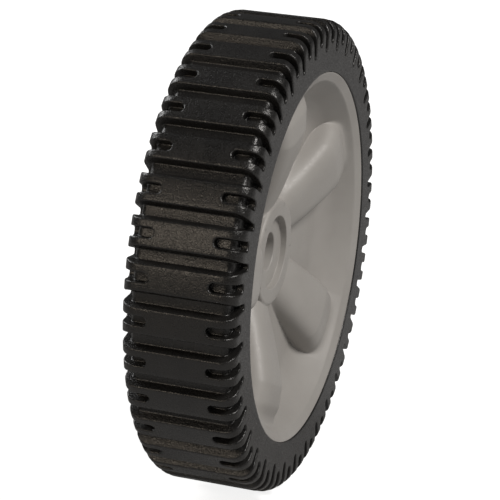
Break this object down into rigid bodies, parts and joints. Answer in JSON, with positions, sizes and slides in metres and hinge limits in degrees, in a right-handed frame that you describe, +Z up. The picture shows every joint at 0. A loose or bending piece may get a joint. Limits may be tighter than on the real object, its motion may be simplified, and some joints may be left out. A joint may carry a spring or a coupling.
{
  "type": "wheel",
  "caption": "Plain-bearing machine wheel: black moulded tyre with split tread lugs on a grey rim whose dish has broad rounded ribs, a boss and a plain axle bore.",
  "frame": {"origin": "the wheel's centre, on the axle's line, halfway between the tyre's two side walls", "axes": "+Y along the axle, away from the dished face; +Z up with the wheel upright on its tread; it spins about +Y"},
  "size_m": [0.203, 0.0476, 0.203],
  "materials": {
    "tyre": "matt black moulded, fine grain",
    "rim": "satin grey moulded plastic"
  },
  "bodies": {
    "root": {"tyre": "tyre", "rim": "rim"}
  },
  "joints": []
}
